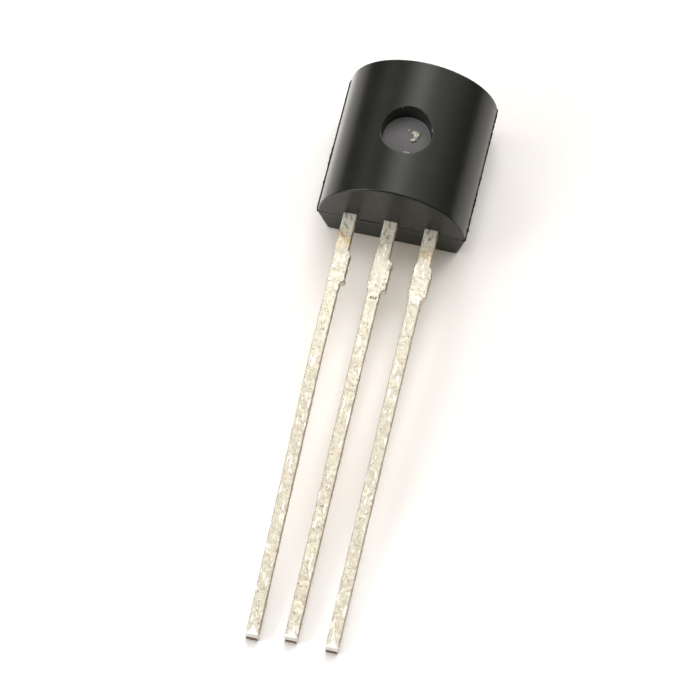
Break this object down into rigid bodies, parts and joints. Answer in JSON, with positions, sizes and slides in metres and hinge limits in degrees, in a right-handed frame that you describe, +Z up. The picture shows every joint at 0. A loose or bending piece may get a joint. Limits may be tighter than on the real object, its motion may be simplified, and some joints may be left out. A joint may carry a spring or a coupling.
{
  "type": "triac",
  "caption": "Small mains-switching semiconductor in a black moulded D-section body, with flat stamped leads in line for through-hole mounting.",
  "frame": {"origin": "centre of the flat side, which the part lies on", "axes": "+Z up through the round side, +Y along the body away from the leads, +X across the leads towards main terminal 1"},
  "size_m": [0.0046, 0.0184, 0.0034],
  "materials": {
    "epoxy_moulding": "black glass-filled epoxy with a low sheen, slightly rough from the mould",
    "tinned_lead": "stamped copper alloy with an uneven solder-dip coat",
    "solder": "dull grey die-attach solder",
    "silicon": "dark silicon with aluminium electrodes and a glass moat",
    "bond_wire": "bright drawn aluminium wire"
  },
  "bodies": {
    "root": {"package_body": "epoxy_moulding", "mt1_lead": "tinned_lead", "gate_lead": "tinned_lead", "mt2_lead": "tinned_lead", "die_solder": "solder", "triac_chip": "silicon", "mt1_wire": "bond_wire", "gate_wire": "bond_wire"}
  },
  "joints": []
}
